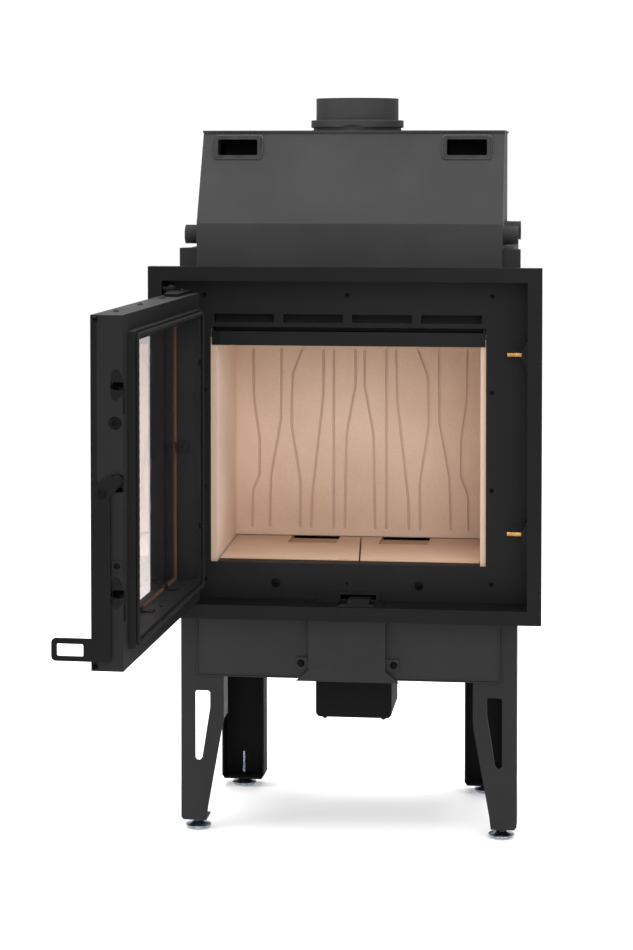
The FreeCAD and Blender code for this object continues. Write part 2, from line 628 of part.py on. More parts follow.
def leg_rear_left():
    """Channel open to the front, with a bevelled foot plate."""
    x0, x1 = -LEG_REAR_X - LEG_REAR_WIDE / 2, -LEG_REAR_X + LEG_REAR_WIDE / 2
    y0, y1 = LEG_REAR_FRONT, LEG_REAR_BACK
    outer = box(x0, x1, y0, y1, LEG_LOW - 3, LEG_TOP)
    inner = box(x0 + SHEET, x1 - SHEET, y0, y1 - SHEET, LEG_LOW, LEG_TOP - SHEET)
    leg = outer.cut(inner)
    for x, side in ((x0, 1), (x1, -1)):
        corner = [(x, LEG_LOW - 3), (x + side * 5, LEG_LOW - 3), (x, LEG_LOW + 4)]
        leg = leg.cut(outline_xz(corner, y0, y1))
    x, y = FOOT_REAR
    return leg.cut(rod(ROD_R + 0.6, V(-x, y, LEG_LOW - 3), V(-x, y, LEG_LOW)))


def foot_centre(end, side):
    x, y = FOOT_FRONT if end == "front" else FOOT_REAR
    return side * x, y


def foot_stem(end, side):
    """Threaded rod on a pressed zinc disc."""
    x, y = foot_centre(end, side)
    profile = [V(0, 0, 3.0), V(DISC_R - 1.5, 0, 3.0), V(DISC_R, 0, 3.6), V(DISC_R, 0, 5.4), V(DISC_R - 1, 0, 6.2),
               V(12, 0, 6.8), V(8, 0, 7.2), V(ROD_R, 0, 7.4), V(ROD_R, 0, ROD_TOP - 1), V(ROD_R - 1, 0, ROD_TOP),
               V(0, 0, ROD_TOP)]
    face = Part.Face(Part.makePolygon(profile + [profile[0]]))
    stem = face.revolve(V(0, 0, 0), V(0, 0, 1), 360)
    stem.translate(V(x, y, FOOT_LOW))
    return stem


def foot_pad(end, side):
    """Plastic pad under the disc."""
    x, y = foot_centre(end, side)
    pad = Part.makeCone(17.5, 20.5, 3.0, V(x, y, FOOT_LOW), V(0, 0, 1))
    return pad


def foot_nuts():
    """Nuts welded on the legs' foot plates, with the running fit of the rods."""
    nuts = []
    for end, seat in (("front", LEG_LOW + SHEET), ("rear", LEG_LOW)):
        for side in (-1, 1):
            x, y = foot_centre(end, side)
            nut = hexagon(13.0, V(x, y, seat), 7.0)
            nuts.append(nut.cut(rod(ROD_R + PIN_CLEARANCE, V(x, y, seat), V(x, y, seat + 7.0))))
    return nuts


def under_fixings():
    """The feet's nuts, and the bolts under the base plate, on the duct cover and under the air box."""
    places = [(side * x, y) for side in (-1, 1) for x, y in ((282.0, 100.0), (240.0, 100.0), (250.0, 395.0),
                                                            (210.0, 395.0))]
    bolts = [hexagon(13.0, V(x, y, LEG_TOP - SHEET - 5.0), 5.0) for x, y in places]
    bolts += [dome_screw(6.5, 3.0, V(x, SKIRT_FRONT - 3, COVER_LOW + 9.5), V(0, -1, 0)) for x in (-82, 82)]
    bolts += [dome_screw(5.0, 5.0, V(x, BOX_FRONT + 10, BOX_LOW), V(0, 0, -1)) for x in (-53, 53)]
    return group(foot_nuts() + bolts)


# ---------------------------------------------------------------- door catches and hinge on the frame
def catch_bracket(z):
    """Gusseted bracket on the recess wall that carries a catch pin."""
    wall = FRAME_HALF - FRAME_BAND
    plate = box(wall - SHEET, wall, 14, 64, z - 24, z + 24)
    web = outline_xz([(wall - SHEET, z - 18), (wall - SHEET, z + 18), (wall - 11, z + 6), (wall - 11, z - 6)], 28, 52)
    bracket = plate.fuse(web).removeSplitter()
    hole = rod(CATCH_R - 1.0, V(wall - 11, CATCH_Y, z), V(wall - SHEET, CATCH_Y, z))
    return bracket.cut(hole)


def catch_pin(z):
    """Brass roller pin with a dark tip groove."""
    wall = FRAME_HALF - FRAME_BAND
    pin = rod(CATCH_R, V(280, CATCH_Y, z), V(wall - 11, CATCH_Y, z))
    shank = rod(CATCH_R - 1.0, V(wall - 11, CATCH_Y, z), V(wall - SHEET, CATCH_Y, z))
    ring = pipe(CATCH_R + 1, CATCH_R - 0.8, V(288.5, CATCH_Y, z), V(289.5, CATCH_Y, z))
    return pin.fuse(shank).cut(ring).removeSplitter()


def frame_hinges():
    """Top and bottom plates on the recess wall, each with its headed hinge pin."""
    wall = -(FRAME_HALF - FRAME_BAND)
    hinges = []
    for z0, tip, face, rise in ((DOOR_HIGH + 6.0, DOOR_HIGH, 4.0, 3.5), (DOOR_LOW - 9.0, DOOR_LOW, 0.0, -1.0)):
        plate = outline_xy([(wall, 4), (wall + 6, -8), (HINGE_X + 8, -8), (HINGE_X + 11, 4), (HINGE_X + 11, 20),
                            (wall, 44)], z0, z0 + 4)
        low, high = min(z0, tip), max(z0 + 4, tip)
        pin = rod(PIN_R, V(HINGE_X, HINGE_Y, low), V(HINGE_X, HINGE_Y, high))
        out = 1.0 if rise > 0 else -1.0
        head = dome_screw(7.5, abs(rise), V(HINGE_X, HINGE_Y, z0 + face), V(0, 0, out))
        hinges.append(plate.fuse(pin).fuse(head).removeSplitter())
    return group(hinges)


# ---------------------------------------------------------------- door, built closed
def door_leaf():
    """Flat front frame of the door."""
    leaf = window((DOOR_HALF, DOOR_LOW, DOOR_HIGH), (GLASS_HALF - 6, GLASS_LOW - 6 + 12, GLASS_HIGH - 6), 0, DOOR_LEAF)
    return leaf


def door_box():
    """Folded sheet box behind the leaf, with the slots that the catch pins enter."""
    outer = (DOOR_HALF, DOOR_LOW, DOOR_HIGH)
    wall = (DOOR_HALF - SHEET, DOOR_LOW + SHEET, DOOR_HIGH - SHEET)
    sides = window(outer, wall, DOOR_LEAF, DOOR_DEEP)
    back = window(outer, (GLASS_HALF, GLASS_LOW, GLASS_HIGH), DOOR_DEEP - SHEET, DOOR_DEEP)
    jambs = window((GLASS_HALF + SHEET, GLASS_LOW - SHEET, GLASS_HIGH + SHEET), (GLASS_HALF, GLASS_LOW, GLASS_HIGH),
                   GLASS_FRONT + GLASS_THICK + 1.8, DOOR_DEEP - SHEET)
    lock_plate = box(DOOR_HALF, DOOR_HALF + 1.5, 32, 48, 569, 585)
    body = sides.fuse(back).fuse(jambs).fuse(lock_plate)
    cuts = []
    for z in CATCH_Z:
        cuts.append(box(276, DOOR_HALF, CATCH_T, DOOR_DEEP, z - 6.0, z + 6.0))
        cuts.append(box(276, 290, DOOR_DEEP - SHEET, DOOR_DEEP, z - 42, z))
        cuts.append(rod(6.0, V(DOOR_HALF - SHEET, CATCH_T, z), V(DOOR_HALF, CATCH_T, z)))
    link_y, link_z = LEVER_Y + LEVER_LINK[0], LEVER_Z + LEVER_LINK[1]
    cuts.append(box(282, DOOR_HALF, link_y - 8, DOOR_DEEP, link_z - 18, link_z + 8))
    return cut_all(body, cuts).removeSplitter()


def door_rim():
    """Square tube frame that carries the rope seal."""
    outer = (259.0, 446.0, 925.0)
    inner = (outer[0] - RIM_TUBE, outer[1] + RIM_TUBE, outer[2] - RIM_TUBE)
    rim = round_edges(window(outer, inner, DOOR_DEEP, RIM_DEEP), 3.0, 1)
    return cut_all(rim, [box(-252, -244, 56, RIM_DEEP, z - 5, z + 5) for z in (834.0, 555.0)])


def rope_seal():
    """Glass-fibre rope on the rim, pressed hollow by the panel's screws where it meets them when the door shuts."""
    outer = (256.0, 449.0, 922.0)
    inner = (247.0, 458.0, 913.0)
    face = RECESS - DOOR_SET - 0.7
    rope = round_edges(window(outer, inner, RIM_DEEP, face), 3.0, 1)
    hollows = [rod(size + 0.8, V(x, face - 2.0, z), V(x, face, z)) for x, z, size in panel_holes()
               if inner[1] < z < inner[2]]
    return cut_all(rope, hollows)


def door_glass():
    half = GLASS_HALF + 6
    return box(-half, half, GLASS_FRONT, GLASS_FRONT + GLASS_THICK, GLASS_LOW - 6, GLASS_HIGH + 6)


def glass_gaskets():
    """Flat tapes round the glass, one on each side of it."""
    outer = (GLASS_HALF + 6, GLASS_LOW - 6, GLASS_HIGH + 6)
    inner = (GLASS_HALF - 4, GLASS_LOW + 4, GLASS_HIGH - 4)
    front = window(outer, (GLASS_HALF - 5, GLASS_LOW + 5, GLASS_HIGH - 5), DOOR_LEAF, GLASS_FRONT)
    back = window(outer, inner, GLASS_FRONT + GLASS_THICK, GLASS_FRONT + GLASS_THICK + 1.8)
    return group([front, back])


def glass_clips():
    """Small spring clips that press the glass from inside, each with its screw."""
    clips = []
    clip_y = GLASS_FRONT + GLASS_THICK + 1.8
    for x, z in [(x, z) for z in (GLASS_LOW, GLASS_HIGH) for x in (-150.0, 40.0, 180.0)]:
        inward = 1 if z == GLASS_LOW else -1
        z0, z1 = sorted((z, z + inward * 9))
        base0, base1 = sorted((z, z + inward * 2))
        foot = box(x - 9, x + 9, clip_y, 21.0, z0, z1)
        base = box(x - 9, x + 9, 21.0, 40.0, base0, base1)
        screw = dome_screw(3.6, 2.0, V(x, 32.0, z + inward * 2), V(0, 0, inward))
        clips.append(foot.fuse(base).fuse(screw).removeSplitter())
    for z in (690.0,):
        for side in (-1, 1):
            x = side * GLASS_HALF
            foot0, foot1 = sorted((x, x - side * 9))
            base0, base1 = sorted((x, x - side * 2))
            foot = box(foot0, foot1, clip_y, 21.0, z - 9, z + 9)
            base = box(base0, base1, 21.0, 40.0, z - 9, z + 9)
            screw = dome_screw(3.6, 2.0, V(x - side * 2, 32.0, z), V(-side, 0, 0))
            clips.append(foot.fuse(base).fuse(screw).removeSplitter())
    return group(clips)


def hinge_straps():
    """Bars on the door's top and foot that turn on the hinge pins."""
    straps = []
    edge = -DOOR_HALF
    for z0, z1 in ((DOOR_HIGH, DOOR_HIGH + 5.0), (DOOR_LOW - 4.5, DOOR_LOW)):
        eye = rod(10.0, V(HINGE_X, HINGE_T, z0), V(HINGE_X, HINGE_T, z1))
        bar = outline_xy([(HINGE_X, HINGE_T - 10), (HINGE_X, HINGE_T + 10), (edge + 2, 36), (edge + 120, 36),
                          (edge + 120, 12), (edge + 20, 3)], z0, z1)
        hole = rod(PIN_R + PIN_CLEARANCE, V(HINGE_X, HINGE_T, z0), V(HINGE_X, HINGE_T, z1))
        straps.append(eye.fuse(bar).cut(hole).removeSplitter())
    return group(straps)


def door_screws():
    """Screws in the door's top, its window frame and its lock edge."""
    up = V(0, 0, 1)
    screws = [dome_screw(5.5, 2.4, V(x, 20.0, DOOR_HIGH), up) for x in (211.0, 44.0, -122.0)]
    screws.append(dome_screw(5.5, 2.4, V(-283.0, 20.0, DOOR_HIGH + 5.0), up))
    edge = DOOR_HALF
    out = V(1, 0, 0)
    screws.append(dome_screw(5.0, 5.0, V(edge, 6.0, DOOR_HIGH - 6.0), out))
    screws.append(dome_screw(5.0, 5.0, V(edge, 5.5, DOOR_LOW + 5.5), out))
    screws.append(dome_screw(10.0, 3.0, V(edge, 37.5, 790.0), out))
    screws.append(dome_screw(5.0, 2.0, V(edge + 1.5, 40.0, 577.0), out))
    for x in (-200.0, 0.0, 200.0):
        for z, inward in ((GLASS_LOW, 1), (GLASS_HIGH, -1)):
            screws.append(dome_screw(3.0, 1.6, V(x, 43.0, z), V(0, 0, inward)))
    return group(screws)


def lever_pivot():
    """Shouldered bolt on the lock edge that the handle lever turns on."""
    face = DOOR_HALF
    pin = rod(4.0, V(face, LEVER_Y, LEVER_Z), V(face + GAP * 2 + LEVER_THICK + 0.4, LEVER_Y, LEVER_Z))
    seat = V(face + GAP * 2 + LEVER_THICK + 0.4, LEVER_Y, LEVER_Z)
    return pin.fuse(dome_screw(8.0, 3.2, seat, V(1, 0, 0))).removeSplitter()


def handle_lever():
    """Flat lever: dog-leg arm to the drive pin, long bar down the edge, and the grip loop."""
    x0 = DOOR_HALF + GAP * 2
    x1 = x0 + LEVER_THICK
    link_y, link_z = LEVER_Y + LEVER_LINK[0], LEVER_Z + LEVER_LINK[1]
    bar = outline_yz([(2, 692), (2, LOOP_LOW), (28, LOOP_LOW), (31, LOOP_LOW + 4), (31, 672), (24, 700), (10, 700)],
                     x0, x1)
    arm = outline_yz([(12, 672), (LEVER_Y + 8, 673), (link_y + 6, link_z - 7), (link_y + 3, link_z + 9),
                      (LEVER_Y + 10, link_z + 4), (8, LEVER_Z + 12)], x0, x1)
    tip = rod(9.0, V(x0, link_y, link_z), V(x1, link_y, link_z))
    loop = round_edges(box(x0, x1, -LOOP_OUT, 12, LOOP_LOW, LOOP_HIGH), 7.0, 0)
    loop = loop.fuse(box(x0, x1, 2, 12, LOOP_LOW, LOOP_HIGH))
    hole = round_edges(box(x0, x1, -LOOP_OUT + 8.2, -10.8, LOOP_LOW + 7.4, LOOP_HIGH - 8.2), 2.5, 0)
    lever = bar.fuse(arm).fuse(tip).fuse(loop).removeSplitter()
    lever = lever.cut(hole).cut(rod(4.0 + PIN_CLEARANCE, V(x0, LEVER_Y, LEVER_Z), V(x1, LEVER_Y, LEVER_Z)))
    drive = rod(4.0, V(283.5, link_y, link_z), V(x0, link_y, link_z))
    return lever.fuse(drive).removeSplitter()


def latch_bar():
    """Bar inside the lock edge that the lever lifts and lowers, with its two hooks."""
    link_y, link_z = LEVER_Y + LEVER_LINK[0], LEVER_Z + LEVER_LINK[1]
    bar = box(283.5, 287.5, 16, 32, CATCH_Z[1] - 30, CATCH_Z[0] + 14)
    arm = box(283.5, 287.5, 32, 45.5, link_z - 12, link_z + 12)
    slot = box(283.5, 287.5, link_y - 5.5, 45.5, link_z - 5.6, link_z + 5.6)
    bar = bar.fuse(arm).cut(slot)
    for z in CATCH_Z:
        bar = bar.fuse(latch_hook(z))
    return bar.removeSplitter()


def latch_hook(z):
    """Hook behind a catch pin; its sloped nose rides over the pin as the door shuts."""
    nose = CATCH_T + 4.9
    profile = [(20, z - 14), (20, z - 30), (38, z - 30), (nose + 6, z - 17), (nose + 6, z - 5.1), (nose + 0.8, z - 2.2),
               (nose, z - 2.2), (nose, z - 14)]
    return outline_yz(profile, 279.5, 283.5)


def open_door(shape):
    """Turns a closed door part to its rest angle."""
    shape = shape.copy()
    shape.translate(V(0, DOOR_SET, 0))
    shape.rotate(V(HINGE_X, HINGE_Y, 0), V(0, 0, 1), -DOOR_OPEN)
    return shape


# ---------------------------------------------------------------- the whole stove
def fixed_parts():
    parts = {
        "front_frame": front_frame(),
        "front_panel": front_panel(),
        "panel_screws": panel_screws(),
        "air_cover": air_cover(),
        "air_guide": air_guide(),
        "sill_plate": sill(),
        "shell_back": shell_back(),
        "shell_floor": shell_floor(),
        "base_plate": base_plate(),
        "casing_back": casing_back(),
        "casing_top": casing_top(),
        "hood_front": hood_front(),
        "hood_back": hood_back(),
        "hood_top": hood_top(),
        "inner_smoke_hood": inner_hood(),
        "flue_pipe": flue_pipe(),
        "flue_collar": flue_collar(),
        "back_brick": back_brick(),
        "baffle_bricks": group([baffle_brick(150, 960, BRICK_BACK - 4, 905), baffle_brick(95, 966, 265, 990)]),
        "skirt_panel": skirt(),
        "duct_cover": duct_cover(),
        "air_box": air_box(),
        "under_fixings": under_fixings(),
        "catch_pins": group([catch_pin(z) for z in CATCH_Z]),
        "catch_brackets": group([catch_bracket(z) for z in CATCH_Z]),
        "frame_hinges": frame_hinges(),
    }
    pairs = {"shell_side": shell_side_left, "casing_side": casing_left, "hood_side": hood_side_left,
             "side_brick": side_brick_left, "leg_front": leg_front_left, "leg_rear": leg_rear_left}
    for name, make in pairs.items():
        parts[name + "_left"] = make()
        parts[name + "_right"] = mirrored(make())
    parts["carrying_sockets"] = group([carrying_socket(-1), carrying_socket(1)])
    parts["pipe_nipples"] = group([nipple(side, y, z) for y, z in NIPPLES.values() for side in (-1, 1)])
    return parts


def moving_parts():
    parts = {"floor_brick_left": floor_brick(-1), "floor_brick_right": floor_brick(1),
             "air_slide": air_slide(), "air_lever": air_lever()}
    for end in ("front", "rear"):
        for side, word in ((-1, "left"), (1, "right")):
            stem = foot_stem(end, side)
            parts["foot_" + end + "_" + word] = group([stem, foot_pad(end, side)])
    return parts


def door_parts():
    parts = {
        "door_leaf": door_leaf(),
        "door_box": door_box(),
        "door_rim": door_rim(),
        "rope_seal": rope_seal(),
        "door_glass": door_glass(),
        "glass_gaskets": glass_gaskets(),
        "glass_clips": glass_clips(),
        "hinge_straps": hinge_straps(),
        "door_screws": door_screws(),
        "lever_pivot": lever_pivot(),
        "handle_lever": handle_lever(),
        "latch_bar": latch_bar(),
    }
    return {name: open_door(shape) for name, shape in parts.items()}


def overall_box(shapes):
    whole = FreeCAD.BoundBox()
    for shape in shapes:
        whole.add(shape.optimalBoundingBox(True, False))
    return whole


def main():
    parts = {}
    for made in (fixed_parts(), moving_parts(), door_parts()):
        parts.update(made)
    whole = overall_box(parts.values())
    shift = V(-(whole.XMin + whole.XMax) / 2, -(whole.YMin + whole.YMax) / 2, -whole.ZMin)
    os.makedirs("parts", exist_ok=True)
    for name, shape in parts.items():
        placed = shape.copy()
        placed.translate(shift)
        placed.exportStep("parts/" + name + ".step")
    print("shift %.4f %.4f %.4f" % (shift.x, shift.y, shift.z))
    print("size %.2f %.2f %.2f" % (whole.XLength, whole.YLength, whole.ZLength))


main()
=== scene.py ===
import json
import math

import bmesh
import bpy
from mathutils import Matrix, Vector


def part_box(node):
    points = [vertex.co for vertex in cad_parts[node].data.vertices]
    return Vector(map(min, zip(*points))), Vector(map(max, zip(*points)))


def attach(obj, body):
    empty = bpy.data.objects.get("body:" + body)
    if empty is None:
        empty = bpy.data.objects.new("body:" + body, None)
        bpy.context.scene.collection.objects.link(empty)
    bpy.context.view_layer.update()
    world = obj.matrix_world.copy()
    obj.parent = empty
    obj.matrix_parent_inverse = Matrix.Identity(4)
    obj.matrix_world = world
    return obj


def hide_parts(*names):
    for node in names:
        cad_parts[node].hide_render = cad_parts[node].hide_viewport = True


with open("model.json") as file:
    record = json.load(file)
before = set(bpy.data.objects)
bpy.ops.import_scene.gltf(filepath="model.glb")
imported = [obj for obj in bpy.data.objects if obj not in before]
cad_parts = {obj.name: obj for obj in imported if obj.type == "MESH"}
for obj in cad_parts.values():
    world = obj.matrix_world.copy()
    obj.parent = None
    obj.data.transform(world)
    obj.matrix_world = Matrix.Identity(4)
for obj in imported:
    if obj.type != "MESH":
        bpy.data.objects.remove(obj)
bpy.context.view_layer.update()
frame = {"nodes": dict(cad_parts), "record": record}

nodes = frame["nodes"]
record = frame["record"]
joints = {j["name"]: j for j in record["behaviour"]["joints"]}


# ------------------------------------------------------------------ where things are
def span(node):
    lo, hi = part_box(node)
    return Vector(lo), Vector(hi)


lo_frame, hi_frame = span("front_frame")
MID_X = (lo_frame.x + hi_frame.x) / 2        # the stove's centre line
FACE_Y = lo_frame.y                          # face of the front frame
FRAME_LOW = 384.5                            # the frame's underside above the level that at() counts from
LIFT = lo_frame.z - FRAME_LOW / 1000         # that level above the floor, in metres
HINGE = Vector(joints["door_hinge"]["pos_m"])
DOOR_SET = 4.0                               # how far the closed door stands behind the face, in millimetres
HOOD_LEAN = 0.5                              # how far the hood's front leans back for its rise
OPEN = math.radians(joints["door_hinge"]["range_deg"][1])
TURN = Matrix.Rotation(-OPEN, 3, "Z")        # closed door to its place at rest


def at(x, y, z):
    """A point in millimetres from the centre line, the frame's face and the level FRAME_LOW counts from."""
    return Vector((MID_X + x / 1000, FACE_Y + y / 1000, z / 1000 + LIFT))


def door(x, t, z):
    """The same for a point of the closed door, at its place at rest."""
    return TURN @ (at(x, t + DOOR_SET, z) - HINGE) + HINGE


# ------------------------------------------------------------------ materials
def srgb(r, g, b):
    def lin(v):
        v /= 255.0
        return v / 12.92 if v <= 0.04045 else ((v + 0.055) / 1.055) ** 2.4
    return (lin(r), lin(g), lin(b), 1.0)


class Mat:
    """A Principled material with its node helpers."""

    def __init__(self, name, rough=0.5, metal=0.0, **sockets):
        self.m = bpy.data.materials.new(name)
        self.m.use_nodes = True
        self.t = self.m.node_tree
        self.bsdf = self.t.nodes["Principled BSDF"]
        self.bsdf.inputs["Roughness"].default_value = rough
        self.bsdf.inputs["Metallic"].default_value = metal
        for key, value in sockets.items():
            self.bsdf.inputs[key.replace("_", " ")].default_value = value
        self.coord = self.t.nodes.new("ShaderNodeTexCoord").outputs["Object"]

    def link(self, a, b):
        self.t.links.new(a, b)

    def mapped(self, scale):
        n = self.t.nodes.new("ShaderNodeMapping")
        n.inputs["Scale"].default_value = scale
        self.link(self.coord, n.inputs["Vector"])
        return n.outputs["Vector"]

    def along(self, axis):
        """The object coordinate along X (0), Y (1) or Z (2)."""
        n = self.t.nodes.new("ShaderNodeSeparateXYZ")
        self.link(self.coord, n.inputs[0])
        return n.outputs[axis]

    def noise(self, scale, detail, rough, stretch=None):
        n = self.t.nodes.new("ShaderNodeTexNoise")
        n.inputs["Scale"].default_value = scale
        n.inputs["Detail"].default_value = detail
        n.inputs["Roughness"].default_value = rough
        self.link(self.mapped(stretch) if stretch else self.coord, n.inputs["Vector"])
        return n.outputs["Fac"]

    def voronoi(self, scale):
        n = self.t.nodes.new("ShaderNodeTexVoronoi")
        n.inputs["Scale"].default_value = scale
        self.link(self.coord, n.inputs["Vector"])
        return n.outputs["Distance"]

    def wave(self, scale, direction, distortion, stretch=None, detail=0.0):
        n = self.t.nodes.new("ShaderNodeTexWave")
        n.bands_direction = direction
        n.inputs["Scale"].default_value = scale
        n.inputs["Distortion"].default_value = distortion
        n.inputs["Detail"].default_value = detail
        self.link(self.mapped(stretch) if stretch else self.coord, n.inputs["Vector"])
        return n.outputs["Fac"]

    def ramp(self, fac, stops):
        n = self.t.nodes.new("ShaderNodeValToRGB")
        while len(n.color_ramp.elements) < len(stops):
            n.color_ramp.elements.new(0.5)
        for e, (pos, colour) in zip(n.color_ramp.elements, stops):
            e.position = pos
            e.color = colour
        self.link(fac, n.inputs["Fac"])
        return n.outputs["Color"]

    def remap(self, fac, a, b, c, d):
        n = self.t.nodes.new("ShaderNodeMapRange")
        for i, v in enumerate((a, b, c, d), 1):
            n.inputs[i].default_value = v
        self.link(fac, n.inputs[0])
        return n.outputs[0]

    def mix(self, fac, a, b, blend="MIX"):
        n = self.t.nodes.new("ShaderNodeMix")
        n.data_type = "RGBA"
        n.blend_type = blend
        if isinstance(fac, float):
            n.inputs[0].default_value = fac
        else:
            self.link(fac, n.inputs[0])
        for i, v in ((6, a), (7, b)):
            if isinstance(v, tuple):
                n.inputs[i].default_value = v
            else:
                self.link(v, n.inputs[i])
        return n.outputs[2]

    def math(self, op, a, b):
        n = self.t.nodes.new("ShaderNodeMath")
        n.operation = op
        for i, v in enumerate((a, b)):
            if isinstance(v, (int, float)):
                n.inputs[i].default_value = v
            else:
                self.link(v, n.inputs[i])
        return n.outputs[0]

    def colour(self, out):
        self.link(out, self.bsdf.inputs["Base Color"])

    def roughness(self, out):
        self.link(out, self.bsdf.inputs["Roughness"])

    def bump(self, height, strength, distance):
        n = self.t.nodes.new("ShaderNodeBump")
        n.inputs["Strength"].default_value = strength
        n.inputs["Distance"].default_value = distance
        self.link(height, n.inputs["Height"])
        self.link(n.outputs["Normal"], self.bsdf.inputs["Normal"])


def stove_paint(name, dark, light, rough=(0.42, 0.56), grain=0.12, shine=0.07):
    """Sprayed heat-proof paint: fine grain, cloudy sheen and faint rub marks."""
    m = Mat(name, rough=0.5, Specular_IOR_Level=shine)
    cloud = m.noise(5.0, 4.0, 0.6)
    speck = m.noise(900.0, 2.0, 0.7)
    rub = m.noise(14.0, 5.0, 0.75, stretch=(1.0, 1.0, 6.0))
    tone = m.ramp(m.math("ADD", m.math("MULTIPLY", cloud, 0.7), m.math("MULTIPLY", speck, 0.3)),
                  [(0.30, dark), (0.72, light)])
    m.colour(tone)
    m.roughness(m.remap(m.math("ADD", m.math("MULTIPLY", rub, 0.6), m.math("MULTIPLY", cloud, 0.4)),
                        0.3, 0.7, rough[0], rough[1]))
    m.bump(speck, grain, 0.00015)
    return m.m


def socket_paint_shaded(name):
    """The hood's paint in its lighter tone (painted light), falling off to painted shade, near black, behind
    the sockets' sloping mouths.
    """
    m = Mat(name, rough=0.58, Specular_IOR_Level=0.07)
    leaning = m.math("SUBTRACT", m.along(1), m.math("MULTIPLY", m.along(2), HOOD_LEAN))
    mouth = min(v.co.y - HOOD_LEAN * v.co.z for v in nodes["hood_front"].data.vertices)
    # painted shade: the colour darkens to near black deeper inside each socket
    painted_shade = m.remap(leaning, mouth + 0.004, mouth + 0.03, 0.0, 1.0)
    cloud = m.noise(40.0, 3.0, 0.6)
    m.colour(m.mix(painted_shade, m.ramp(cloud, [(0.3, srgb(39, 39, 40)), (0.7, srgb(52, 52, 53))]), srgb(4, 4, 4)))
    m.bump(m.noise(900.0, 2.0, 0.7), 0.2, 0.00015)
    return m.m


def fireclay(name, light, mid, dark, face_tint):
    """Pressed fireclay: warm mottling, sand grains, small pores, and a tint mixed in past one of its faces.

    The tint is (axis, where it starts, where it is full, how strong it is, its colour), in metres."""
    m = Mat(name, rough=0.86, Specular_IOR_Level=0.3)
    cloud = m.noise(4.0, 5.0, 0.6)
    grit = m.noise(420.0, 3.0, 0.7)
    pores = m.remap(m.voronoi(240.0), 0.0, 0.22, 1.0, 0.0)
    base = m.ramp(cloud, [(0.3, mid), (0.65, light)])
    sand = m.ramp(grit, [(0.35, dark), (0.6, (1.0, 1.0, 1.0, 1.0))])
    clay = m.mix(0.12, base, sand, "MULTIPLY")
    axis, start, full, strength, tint = face_tint
    m.colour(m.mix(m.remap(m.along(axis), start, full, 0.0, strength), clay, tint))
    m.roughness(m.remap(grit, 0.3, 0.7, 0.78, 0.95))
    m.bump(m.math("SUBTRACT", grit, m.math("MULTIPLY", pores, 0.5)), 0.2, 0.0003)
    return m.m


def plated(name, dark, light):
    """Zinc plated steel with a slightly mottled bright coat."""
    m = Mat(name, rough=0.3, metal=1.0)
    spangle = m.voronoi(160.0)
    cloud = m.noise(60.0, 4.0, 0.6)
    m.colour(m.ramp(m.math("ADD", m.math("MULTIPLY", spangle, 0.8), m.math("MULTIPLY", cloud, 0.4)),
                    [(0.2, dark), (0.75, light)]))
    m.roughness(m.remap(cloud, 0.3, 0.7, 0.22, 0.4))
    m.bump(cloud, 0.08, 0.0003)
    return m.m


def turned_brass(name):
    """Brass with fine turning rings and a little tarnish."""
    m = Mat(name, rough=0.25, metal=1.0)
    rings = m.wave(700.0, "X", 0.6)
    tarnish = m.noise(90.0, 4.0, 0.6)
    m.colour(m.ramp(tarnish, [(0.3, srgb(104, 74, 36)), (0.7, srgb(164, 128, 74))]))
    m.roughness(m.remap(tarnish, 0.3, 0.7, 0.2, 0.36))
    m.bump(rings, 0.1, 0.0002)
    return m.m


def knit(name, dark, light, scale=260.0):
    """Knitted glass fibre."""
    m = Mat(name, rough=0.9, Specular_IOR_Level=0.1)
    a = m.wave(scale, "DIAGONAL", 1.2, detail=1.0)
    b = m.wave(scale, "DIAGONAL", 1.2, stretch=(-1.0, 1.0, 1.0), detail=1.0)
    fibres = m.noise(900.0, 3.0, 0.7)
    weave = m.math("MAXIMUM", a, b)
    thread = m.math("MULTIPLY", weave, m.remap(fibres, 0.2, 0.8, 0.6, 1.1))
    m.colour(m.ramp(thread, [(0.15, dark), (0.85, light)]))
    m.bump(weave, 0.6, 0.0008)
    return m.m


def clear_glass(name):
    """Glass-ceramic pane with the faintest haze."""
    m = Mat(name, rough=0.02, Transmission_Weight=1.0, IOR=1.47)
    haze = m.noise(9.0, 4.0, 0.6)
    m.colour(m.ramp(haze, [(0.3, srgb(238, 228, 226)), (0.7, srgb(243, 236, 234))]))
    m.roughness(m.remap(haze, 0.45, 0.8, 0.015, 0.06))
    return m.m


def vermiculite(name):
    """Pressed board of golden flakes."""
    m = Mat(name, rough=0.92)
    flakes = m.voronoi(300.0)
    cloud = m.noise(12.0, 4.0, 0.6)
    m.colour(m.ramp(m.math("ADD", m.math("MULTIPLY", flakes, 0.8), m.math("MULTIPLY", cloud, 0.3)),
                    [(0.15, srgb(150, 122, 84)), (0.6, srgb(214, 190, 146))]))
    m.bump(flakes, 0.4, 0.0006)
    return m.m


def pad_plastic(name):
    """Grey plastic with a fine moulded grain."""
    m = Mat(name, rough=0.55)
    grain = m.noise(700.0, 3.0, 0.6)
    m.colour(m.ramp(grain, [(0.3, srgb(150, 156, 162)), (0.7, srgb(196, 202, 208))]))
    m.roughness(m.remap(grain, 0.3, 0.7, 0.45, 0.65))
    m.bump(grain, 0.1, 0.0002)
    return m.m


